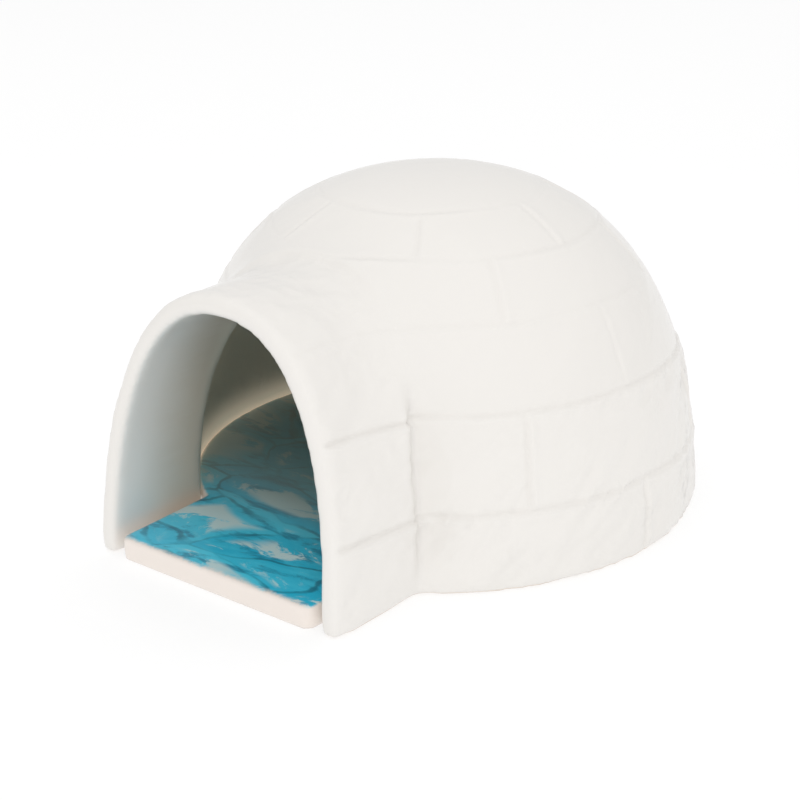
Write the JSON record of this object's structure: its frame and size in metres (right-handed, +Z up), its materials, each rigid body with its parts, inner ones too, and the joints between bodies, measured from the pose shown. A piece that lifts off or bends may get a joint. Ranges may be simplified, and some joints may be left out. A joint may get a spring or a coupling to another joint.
{
  "type": "rodent igloo",
  "caption": "Glazed ceramic snow-house hideout for small rodents: a domed shell with an arched entrance tunnel that lifts off a loose keyhole-shaped floor plate.",
  "frame": {"origin": "on the floor, on the dome's upright axis, at the centre of the floor plate's disc", "axes": "+Z up through the dome's crown, -Y out of the entrance tunnel, +X to the right of someone facing +Y"},
  "size_m": [0.16, 0.1789, 0.0995],
  "materials": {
    "white_glaze": "glossy warm white glaze over cast block courses",
    "ice_glaze": "glossy glaze with a blue broken-ice pattern on top and bare cream sides"
  },
  "bodies": {
    "plate": {"floor_plate": "ice_glaze"},
    "shell": {"igloo_shell": "white_glaze"}
  },
  "joints": [
    {"name": "shell_lift", "type": "slide", "parent": "plate", "child": "shell", "axis": [0, 0, 1], "range_m": [0, 0.11]}
  ]
}
